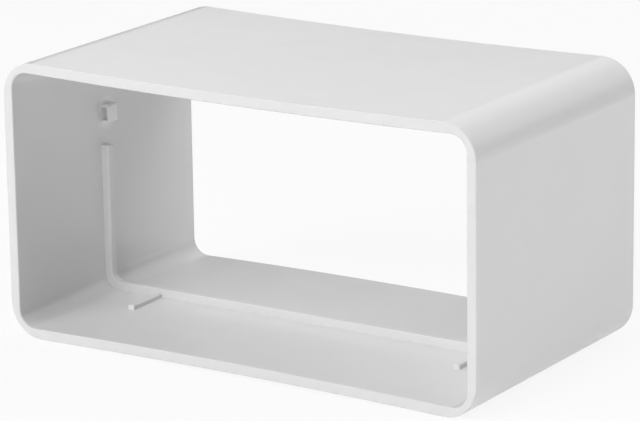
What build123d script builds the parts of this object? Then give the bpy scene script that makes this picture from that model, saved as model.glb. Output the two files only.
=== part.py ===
"""Flat duct connector: a moulded sleeve that joins two lengths of flat rectangular duct end to end.

The duct axis is Y, the width is X and +Z is up. The origin is the middle of the sleeve.
The front socket, the one with the grip fins, opens towards -Y.
"""

from build123d import *
from math import atan2, cos, sin
import os

# Driving dimensions, in millimetres

# Duct that the sockets take, and the room round it at the mouths and at the seats beside the stop rib
duct_width = 110.0
duct_height = 54.0
mouth_side_clearance = 1.0
mouth_face_clearance = 1.25
seat_side_clearance = 0.9
seat_face_clearance = 0.5

# Sleeve
wall = 2.25
length = 66.0
outer_corner_radius = 7.6
bore_corner_radius = 3.8
rim_edge_radius = 0.3

# How far the long walls draw in at mid-width, outside and at the mouths, and at the seats
wall_bow = 0.65
seat_bow = 0.1

# Stop rib round the bore, with its back face at the middle of the sleeve
rib_thickness = 2.0
rib_height = 1.9
rib_edge_radius = 0.3

# Feed gate on the left wall: its height above the duct axis, and the stretch of wall with no rib
gate_rise = 12.3
gate_gap = 14.0

# Stub of the gate: a block as high as the rib, set back from its front, with a pocket in its own front
stub_setback = 0.5
stub_width = 4.0
stub_edge_radius = 0.4
pocket_width = 3.0
pocket_depth = 1.4
pocket_lip = 0.3

# Grip fins on the floor and ceiling of the front socket, and how far each one presses the duct's wall
fin_spacing = 82.6
fin_width = 1.5
fin_length = 10.5
fin_grip = 0.35
fin_edge_radius = 0.2

# Sizes and places that follow from those above
mouth_width = duct_width + 2 * mouth_side_clearance
mouth_height = duct_height + 2 * mouth_face_clearance
seat_width = duct_width + 2 * seat_side_clearance
seat_height = duct_height + 2 * seat_face_clearance
rim_place = length / 2
rib_back = 0.0
rib_front = rib_back - rib_thickness
rib_middle = (rib_front + rib_back) / 2
wall_core = wall / 2

# The stub ends as far behind the rib as the rib is thick, so that both sockets are equally deep
stub_front = rib_front + stub_setback
stub_length = rib_back + rib_thickness - stub_front


def outline(width, height, radius, bow):
    """Face of a rectangle with rounded corners, whose long sides draw in by the bow at mid-width."""
    corner_x = width / 2 - radius
    corner_z = height / 2 - radius
    # Each long side is one arc, and this is its slope where it runs into the corner
    slope = 2 * atan2(bow, corner_x)
    side_x = corner_x - radius * sin(slope)
    side_z = corner_z + radius * cos(slope)
    with BuildSketch() as sketch:
        with BuildLine():
            side = ThreePointArc((-side_x, -side_z), (0, bow - height / 2), (side_x, -side_z))
            right = TangentArc(side @ 1, (width / 2, -corner_z), tangent=side % 1)
            left = TangentArc(side @ 0, (-width / 2, -corner_z), tangent=-(side % 0))
            Line(right @ 1, (width / 2, 0))
            Line(left @ 1, (-width / 2, 0))
            mirror(about=Plane.XZ)
        make_face()
    return sketch.sketch


def across_duct(place, face):
    """Face stood square to the duct axis, at a place along it."""
    return Plane.XZ.offset(-place) * face


def sleeve():
    """Sleeve with a tapered socket from each end, and the stop rib left standing between the two seats."""
    outside = outline(mouth_width + 2 * wall, mouth_height + 2 * wall, outer_corner_radius, wall_bow)
    mouth = outline(mouth_width, mouth_height, bore_corner_radius, wall_bow)
    seat = outline(seat_width, seat_height, bore_corner_radius, seat_bow)
    throat_radius = bore_corner_radius - rib_height
    throat = outline(seat_width - 2 * rib_height, seat_height - 2 * rib_height, throat_radius, seat_bow)

    body = extrude(across_duct(0, outside), rim_place, both=True)
    for mouth_place, seat_place in ((-rim_place, rib_front), (rim_place, rib_back)):
        body -= loft([across_duct(mouth_place, mouth), across_duct(seat_place, seat)], ruled=True)
    body -= extrude(across_duct(rib_middle, throat), rib_thickness / 2, both=True)

    front_seat, back_seat = body.faces().filter_by(Plane.XZ).sort_by(Axis.Y)[1:-1]
    rib_edges = front_seat.inner_wires()[0].edges() + back_seat.inner_wires()[0].edges()
    body = fillet(rib_edges, rib_edge_radius)
    ends = body.faces().filter_by(Plane.XZ).sort_by(Axis.Y)
    return fillet(ends[0].edges() + ends[-1].edges(), rim_edge_radius)


def at_gate(place, shape):
    """Shape moved to the feed gate on the left wall, at a place along the duct axis."""
    return Pos(-seat_width / 2, place, gate_rise) * shape


def rib_gap():
    """Block that takes the stop rib off the left wall beside the gate, down to the wall."""
    block = Box(rib_height, rib_thickness, gate_gap, align=(Align.MIN, Align.CENTER, Align.CENTER))
    return at_gate(rib_middle, block)


def gate_stub():
    """Stub of the feed gate, rooted in the left wall."""
    block = Box(
        rib_height + wall_core,
        stub_length,
        stub_width,
        align=(Align.MAX, Align.MIN, Align.CENTER),
    )
    crest = block.faces().sort_by(Axis.X)[-1]
    block = fillet(crest.edges().sort_by(Axis.Y)[1:], stub_edge_radius)
    pocket = Box(
        rib_height - pocket_lip,
        pocket_depth,
        pocket_width,
        align=(Align.MIN, Align.MIN, Align.CENTER),
    )
    return at_gate(stub_front, Pos(X=rib_height) * block - pocket)


def grip_fins():
    """Low fins that stand on the floor and ceiling of the front socket, up against the stop rib."""
    top = fin_grip - duct_height / 2
    root = -mouth_height / 2 - wall_core
    back = rib_middle
    fin = Box(fin_width, fin_length + back - rib_front, top - root, align=(Align.CENTER, Align.MAX, Align.MAX))
    fin = fillet(fin.faces().sort_by(Axis.Z)[-1].edges(), fin_edge_radius)
    floor_fins = [Pos(side * fin_spacing / 2, back, top) * fin for side in (-1, 1)]
    return floor_fins + [mirror(floor_fin, about=Plane.XY) for floor_fin in floor_fins]


connector = sleeve() - rib_gap() + gate_stub() + grip_fins()
os.makedirs("parts", exist_ok=True)
export_step(connector, "parts/duct_connector.step")
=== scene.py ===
"""Looks, light and camera for the flat duct connector, laid out as a Blender add-on."""

from math import pi, radians

import bmesh
import bpy
from bpy.props import FloatProperty, FloatVectorProperty, PointerProperty
from mathutils import Euler, Matrix, Vector


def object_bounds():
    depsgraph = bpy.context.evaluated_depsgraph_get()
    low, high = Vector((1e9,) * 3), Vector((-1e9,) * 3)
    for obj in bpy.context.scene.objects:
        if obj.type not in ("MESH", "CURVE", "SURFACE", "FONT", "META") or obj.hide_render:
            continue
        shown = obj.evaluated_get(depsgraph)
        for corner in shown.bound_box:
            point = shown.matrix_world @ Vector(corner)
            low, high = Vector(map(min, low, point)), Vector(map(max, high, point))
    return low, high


bl_info = {
    "name": "Flat duct connector",
    "version": (1, 0, 0),
    "blender": (4, 5, 0),
    "location": "View3D > Sidebar > Duct",
    "description": "Moulded white finish and a studio stage for a flat duct connector",
    "category": "Object",
}

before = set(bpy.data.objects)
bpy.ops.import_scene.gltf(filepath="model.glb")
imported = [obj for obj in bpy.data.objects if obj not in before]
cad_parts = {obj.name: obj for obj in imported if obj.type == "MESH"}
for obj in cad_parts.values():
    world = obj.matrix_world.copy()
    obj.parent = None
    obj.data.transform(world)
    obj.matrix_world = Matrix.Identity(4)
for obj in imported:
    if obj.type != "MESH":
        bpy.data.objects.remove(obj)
CAD_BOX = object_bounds()
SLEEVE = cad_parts["duct_connector"]
MM = 0.001
WHITE = (1.0, 1.0, 1.0, 1.0)

# What all the colour settings have in common
COLOUR = {"subtype": "COLOR", "size": 4, "min": 0.0, "max": 1.0}

# Middle of the gate stub, inside the left wall, and how far round it the painted light, a paler colour
# that lifts the shade there, is at its palest
GATE = Vector((-54.9, 0.25, 12.3)) * MM
PAINTED_LIGHT_FULL_REACH = 2.5 * MM

# The painted light patch fades out between these two places in the left wall, so it doesn't show outside
FADE_INNER = -56.5 * MM
FADE_OUTER = -57.5 * MM

# Refractive index of ABS
ABS_IOR = 1.53

# Noise seldom leaves this range, so the patches of gloss are spread over it
NOISE_RANGE = (0.3, 0.7)

# Share of the floor that shows as an even white. The rest of it takes light and keeps a faint shadow.
FLOOR_EVEN_SHARE = 0.87
FLOOR_SIDES = 96

# The card shows as one even grey
CARD_EVEN_SHARE = 1.0
CARD_SIDES = 48

# Where each lamp hangs: degrees round from the front mouth towards the right wall, degrees up,
# and metres away from the middle of the sleeve
LAMPS = {
    "key_lamp": (-15, 45, 1.0),
    "front_lamp": (0, 25, 1.8),
    "fill_lamp": (-40, 30, 1.8),
    "left_lamp": (-90, 60, 0.4),
    "right_lamp": (105, 35, 1.0),
    "back_lamp": (200, 45, 1.8),
}

# Width of a lamp for each metre that it is away
LAMP_SPREAD = 0.6

# How the camera is turned: degrees round and up as for the lamps, and degrees rolled
CAMERA_ROUND = 33.164
CAMERA_UP = 15.447
CAMERA_ROLL = -0.825

# Where the camera is, from the middle of the sleeve: to its own right, up and back
CAMERA_PLACE = Vector((0.147, -2.361, 755.28)) * MM

# Focal length and sensor width, in the millimetres that Blender takes them in
CAMERA_LENS = 199.34
CAMERA_SENSOR = 36


def linear(colour):
    """Linear colour with alpha from an sRGB hex value."""
    channels = [int(colour[i:i + 2], 16) / 255 for i in (1, 3, 5)]
    return [c / 12.92 if c <= 0.04045 else ((c + 0.055) / 1.055) ** 2.4 for c in channels] + [1.0]


def add_node(tree, kind, settings=None, links=None, **attributes):
    """Node with its own fields set from the attributes.

    The settings fill its sockets, and the links join its sockets to outputs of other nodes.
    """
    node = tree.nodes.new(kind)
    for name, value in attributes.items():
        setattr(node, name, value)
    for socket, value in (settings or {}).items():
        node.inputs[socket].default_value = value
    for socket, source in (links or {}).items():
        tree.links.new(source, node.inputs[socket])
    return node


def empty_material(name):
    """Material with no nodes in it yet."""
    material = bpy.data.materials.new(name)
    material.use_nodes = True
    material.node_tree.nodes.clear()
    return material


class PlasticSettings(bpy.types.PropertyGroup):
    """Finish of the moulding."""

    colour: FloatVectorProperty(
        name="Colour",
        description="Colour of the plastic",
        default=linear("#E8E8E8"),
        **COLOUR,
    )
    cloud_colour: FloatVectorProperty(
        name="Cloud colour",
        description="Slightly duller colour in faint clouds, where the melt cooled unevenly",
        default=linear("#E5E5E5"),
        **COLOUR,
    )
    cloud_size: FloatProperty(
        name="Cloud size",
        description="How wide the faint clouds are",
        unit="LENGTH",
        default=30 * MM,
    )
    # Painted light: the paler colour put on and round the gate stub, which lifts the shade there and
    # brightens the stub's lit face
    gate_painted_light_colour: FloatVectorProperty(
        name="Whitened colour",
        description="Paler colour of the gate stub, where breaking off the runner strained the plastic",
        default=linear("#F4F4F4"),
        **COLOUR,
    )
    # How far the painted light round the gate stub spreads
    gate_painted_light_reach: FloatProperty(
        name="Whitened reach",
        description="How far the paler patch spreads from the middle of the gate stub",
        unit="LENGTH",
        default=4.5 * MM,
    )
    roughness: FloatProperty(
        name="Roughness",
        description="Roughness of the moulded skin where it is smoothest",
        subtype="FACTOR",
        min=0.0,
        max=1.0,
        default=0.19,
    )
    patch_roughness: FloatProperty(
        name="Patch roughness",
        description="How much is added to the roughness where the skin is dullest",
        subtype="FACTOR",
        min=0.0,
        max=1.0,
        default=0.06,
    )
    patch_size: FloatProperty(
        name="Patch size",
        description="How wide the duller patches are",
        unit="LENGTH",
        default=12 * MM,
    )
    grain_size: FloatProperty(
        name="Grain size",
        description="Size of the fine grain that the mould leaves",
        unit="LENGTH",
        default=0.5 * MM,
    )
    grain_depth: FloatProperty(
        name="Grain depth",
        description="Depth of the fine grain",
        unit="LENGTH",
        default=0.004 * MM,
    )


class StageSettings(bpy.types.PropertyGroup):
    """Floor, card and lamps."""

    floor_colour: FloatVectorProperty(
        name="Floor colour",
        description="Colour of the floor",
        default=linear("#F7F7F7"),
        **COLOUR,
    )
    floor_radius: FloatProperty(
        name="Floor radius",
        description="Radius of the round floor",
        unit="LENGTH",
        default=3.0,
    )
    card_colour: FloatVectorProperty(
        name="Card colour",
        description="Colour of the low card behind the sleeve, which the floor of the bore mirrors",
        default=linear("#959595"),
        **COLOUR,
    )
    card_radius: FloatProperty(
        name="Card radius",
        description="How far the card stands from the middle of the sleeve",
        unit="LENGTH",
        default=0.4,
    )
    card_height: FloatProperty(
        name="Card height",
        description="Height of the card",
        unit="LENGTH",
        default=0.142,
    )
    key_lamp: FloatProperty(
        name="Key lamp",
        description="Power of the soft lamp high in front of the sleeve",
        unit="POWER",
        default=3.7,
    )
    front_lamp: FloatProperty(
        name="Front lamp",
        description="Power of the soft lamp low in front of the sleeve",
        unit="POWER",
        default=11.0,
    )
    fill_lamp: FloatProperty(
        name="Fill lamp",
        description="Power of the soft lamp in front of the sleeve on the left",
        unit="POWER",
        default=4.5,
    )
    left_lamp: FloatProperty(
        name="Left lamp",
        description="Power of the soft lamp high on the left",
        unit="POWER",
        default=0.14,
    )
    right_lamp: FloatProperty(
        name="Right lamp",
        description="Power of the soft lamp on the right, a little behind the sleeve",
        unit="POWER",
        default=4.1,
    )
    back_lamp: FloatProperty(
        name="Back lamp",
        description="Power of the soft lamp behind the sleeve",
        unit="POWER",
        default=8.7,
    )


class DUCT_OT_moulded_plastic(bpy.types.Operator):
    """Give the sleeve its moulded white plastic"""

    bl_idname = "duct.moulded_plastic"
    bl_label = "Moulded plastic"

    def execute(self, context):
        SLEEVE.data.materials.clear()
        SLEEVE.data.materials.append(white_plastic(context.scene.duct_plastic))
        return {"FINISHED"}


class DUCT_OT_stage(bpy.types.Operator):
    """Set up the floor, the card, the lamps and the camera"""

    bl_idname = "duct.stage"
    bl_label = "Stage"

    def execute(self, context):
        settings = context.scene.duct_stage
        lay_floor(context.scene, settings)
        stand_card(context.scene, settings)
        set_world(context.scene)
        hang_lamps(context.scene, settings)
        place_camera(context.scene)
        return {"FINISHED"}


class DUCT_PT_panel(bpy.types.Panel):
    """Sidebar panel with the steps and their settings"""

    bl_idname = "DUCT_PT_panel"
    bl_label = "Duct connector"
    bl_space_type = "VIEW_3D"
    bl_region_type = "UI"
    bl_category = "Duct"

    def draw(self, context):
        steps = (
            (DUCT_OT_moulded_plastic, context.scene.duct_plastic),
            (DUCT_OT_stage, context.scene.duct_stage),
        )
        for operator, settings in steps:
            box = self.layout.box()
            box.operator(operator.bl_idname)
            for name in settings.__annotations__:
                box.prop(settings, name)


def white_plastic(settings):
    """Injection-moulded ABS, satin from the mould.

    The eye sees a clean white with a soft gloss, faint clouds from uneven cooling, and a gate stub made
    paler with painted light.
    """
    material = empty_material("abs_injection_moulded_satin_white")
    tree = material.node_tree
    place = add_node(tree, "ShaderNodeTexCoord").outputs["Object"]

    # Faint clouds in the colour
    clouds = add_node(
        tree, "ShaderNodeTexNoise",
        {"Scale": 1 / settings.cloud_size, "Detail": 2.0},
        {"Vector": place},
    )
    body = add_node(
        tree, "ShaderNodeMix",
        {"A": settings.colour, "B": settings.cloud_colour},
        {"Factor": clouds.outputs["Fac"]},
        data_type="RGBA",
    )

    # Painted light on and round the stub of the feed gate, inside the left wall: a paler colour that
    # lifts the shade round the stub and brightens its lit face
    gate = add_node(
        tree, "ShaderNodeVectorMath",
        {1: GATE},
        {0: place},
        operation="DISTANCE",
    )
    reach = add_node(
        tree, "ShaderNodeMapRange",
        {"From Min": PAINTED_LIGHT_FULL_REACH, "From Max": settings.gate_painted_light_reach, "To Min": 1.0, "To Max": 0.0},
        {"Value": gate.outputs["Value"]},
        interpolation_type="SMOOTHSTEP",
    )
    across = add_node(tree, "ShaderNodeSeparateXYZ", links={"Vector": place})
    inside = add_node(
        tree, "ShaderNodeMapRange",
        {"From Min": FADE_OUTER, "From Max": FADE_INNER},
        {"Value": across.outputs["X"]},
    )
    painted_light_mask = add_node(
        tree, "ShaderNodeMath",
        links={0: reach.outputs["Result"], 1: inside.outputs["Result"]},
        operation="MULTIPLY",
    )
    colour = add_node(
        tree, "ShaderNodeMix",
        {"B": settings.gate_painted_light_colour},
        {"Factor": painted_light_mask.outputs["Value"], "A": body.outputs["Result"]},
        data_type="RGBA",
    )

    # Gloss that varies in patches
    patches = add_node(
        tree, "ShaderNodeTexNoise",
        {"Scale": 1 / settings.patch_size, "Detail": 3.0},
        {"Vector": place},
    )
    gloss = add_node(
        tree, "ShaderNodeMapRange",
        {
            "From Min": NOISE_RANGE[0],
            "From Max": NOISE_RANGE[1],
            "To Min": settings.roughness,
            "To Max": settings.roughness + settings.patch_roughness,
        },
        {"Value": patches.outputs["Fac"]},
    )

    # The real grain is about 0.1 mm, drawn coarser here so that it shows
    grain = add_node(
        tree, "ShaderNodeTexNoise",
        {"Scale": 1 / settings.grain_size, "Detail": 2.0},
        {"Vector": place},
    )
    relief = add_node(
        tree, "ShaderNodeBump",
        {"Strength": 1.0, "Distance": settings.grain_depth},
        {"Height": grain.outputs["Fac"]},
    )

    plastic = add_node(
        tree, "ShaderNodeBsdfPrincipled",
        {"IOR": ABS_IOR},
        {
            "Base Color": colour.outputs["Result"],
            "Roughness": gloss.outputs["Result"],
            "Normal": relief.outputs["Normal"],
        },
    )
    add_node(tree, "ShaderNodeOutputMaterial", links={"Surface": plastic.outputs["BSDF"]})
    return material


def seen_ray(tree):
    """Output that is 1 for rays from the camera or by way of gloss or glass, and 0 for the rest."""
    path = add_node(tree, "ShaderNodeLightPath").outputs
    straight = add_node(
        tree, "ShaderNodeMath",
        links={0: path["Is Camera Ray"], 1: path["Is Glossy Ray"]},
        operation="MAXIMUM",
    )
    seen = add_node(
        tree, "ShaderNodeMath",
        links={0: straight.outputs["Value"], 1: path["Is Transmission Ray"]},
        operation="MAXIMUM",
    )
    return seen.outputs["Value"]


def paper(name, colour, even_colour, even_share):
    """Matt paper. Where it is seen, a share of it is an even colour that needs no light."""
    material = empty_material(name)
    tree = material.node_tree
    matt = add_node(tree, "ShaderNodeBsdfDiffuse", {"Color": colour})
    even = add_node(tree, "ShaderNodeEmission", {"Color": even_colour, "Strength": 1.0})
    share = add_node(tree, "ShaderNodeMath", {1: even_share}, {0: seen_ray(tree)}, operation="MULTIPLY")
    surface = add_node(
        tree, "ShaderNodeMixShader",
        links={0: share.outputs["Value"], 1: matt.outputs["BSDF"], 2: even.outputs["Emission"]},
    )
    add_node(tree, "ShaderNodeOutputMaterial", links={"Surface": surface.outputs["Shader"]})
    return material


def set_on_stage(scene, name, shape, material):
    """Stage piece made of a shape, which is used up."""
    mesh = bpy.data.meshes.new(name)
    shape.to_mesh(mesh)
    shape.free()
    mesh.materials.append(material)
    piece = bpy.data.objects.new(name, mesh)
    scene.collection.objects.link(piece)
    return piece


def lay_floor(scene, settings):
    """Round floor that the sleeve lies on."""
    shape = bmesh.new()
    bmesh.ops.create_circle(shape, cap_ends=True, segments=FLOOR_SIDES, radius=settings.floor_radius)
    bmesh.ops.translate(shape, verts=shape.verts, vec=(0, 0, CAD_BOX[0].z))
    white = paper("paper_matt_white", settings.floor_colour, WHITE, FLOOR_EVEN_SHARE)
    set_on_stage(scene, "floor", shape, white)


def stand_card(scene, settings):
    """Low half-round card behind the sleeve.

    Only gloss shows it, so it is in no view, lights nothing and throws no shadow.
    """
    shape = bmesh.new()
    foot = CAD_BOX[0].z
    ends = [shape.verts.new((settings.card_radius, 0, z)) for z in (foot, foot + settings.card_height)]
    edge = shape.edges.new(ends)
    bmesh.ops.spin(
        shape,
        geom=ends + [edge],
        cent=(0, 0, 0),
        axis=(0, 0, 1),
        angle=pi,
        steps=CARD_SIDES,
    )
    grey = paper("paper_matt_grey", settings.card_colour, settings.card_colour, CARD_EVEN_SHARE)
    card = set_on_stage(scene, "card", shape, grey)
    card.visible_camera = False
    card.visible_diffuse = False
    card.visible_shadow = False


def set_world(scene):
    """White all round where it is seen, which lights nothing."""
    world = bpy.data.worlds.new("studio")
    scene.world = world
    world.use_nodes = True
    tree = world.node_tree
    tree.nodes.clear()
    light = add_node(tree, "ShaderNodeBackground", {"Color": WHITE}, {"Strength": seen_ray(tree)})
    add_node(tree, "ShaderNodeOutputWorld", links={"Surface": light.outputs["Background"]})


def facing_sleeve(round_degrees, up_degrees):
    """Turn of a lamp or the camera that looks at the middle of the sleeve, from round and up."""
    return Euler((pi / 2 - radians(up_degrees), 0, radians(round_degrees))).to_matrix()


def hang_lamps(scene, settings):
    """Square soft lamps, each turned towards the sleeve. The gloss mirrors the room, not the lamps."""
    for name, (round_degrees, up_degrees, away) in LAMPS.items():
        lamp = bpy.data.lights.new(name, "AREA")
        lamp.size = LAMP_SPREAD * away
        lamp.energy = getattr(settings, name)
        turn = facing_sleeve(round_degrees, up_degrees)
        holder = bpy.data.objects.new(name, lamp)
        holder.visible_glossy = False
        holder.matrix_world = turn.to_4x4() @ Matrix.Translation((0, 0, away))
        scene.collection.objects.link(holder)


def place_camera(scene):
    """Long lens from the front right, a little above."""
    turn = facing_sleeve(CAMERA_ROUND, CAMERA_UP) @ Matrix.Rotation(radians(CAMERA_ROLL), 3, "Z")
    camera = bpy.data.cameras.new("camera")
    camera.sensor_fit = "HORIZONTAL"
    camera.sensor_width = CAMERA_SENSOR
    camera.lens = CAMERA_LENS
    holder = bpy.data.objects.new("camera", camera)
    holder.matrix_world = Matrix.Translation(turn @ CAMERA_PLACE) @ turn.to_4x4()
    scene.collection.objects.link(holder)
    scene.camera = holder


CLASSES = (PlasticSettings, StageSettings, DUCT_OT_moulded_plastic, DUCT_OT_stage, DUCT_PT_panel)


def register():
    for cls in CLASSES:
        bpy.utils.register_class(cls)
    bpy.types.Scene.duct_plastic = PointerProperty(type=PlasticSettings)
    bpy.types.Scene.duct_stage = PointerProperty(type=StageSettings)


def unregister():
    del bpy.types.Scene.duct_stage
    del bpy.types.Scene.duct_plastic
    for cls in reversed(CLASSES):
        bpy.utils.unregister_class(cls)


def main():
    """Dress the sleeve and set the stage."""
    register()
    bpy.context.scene.view_settings.view_transform = "Standard"
    bpy.ops.duct.moulded_plastic()
    bpy.ops.duct.stage()


if __name__ == "__main__":
    main()
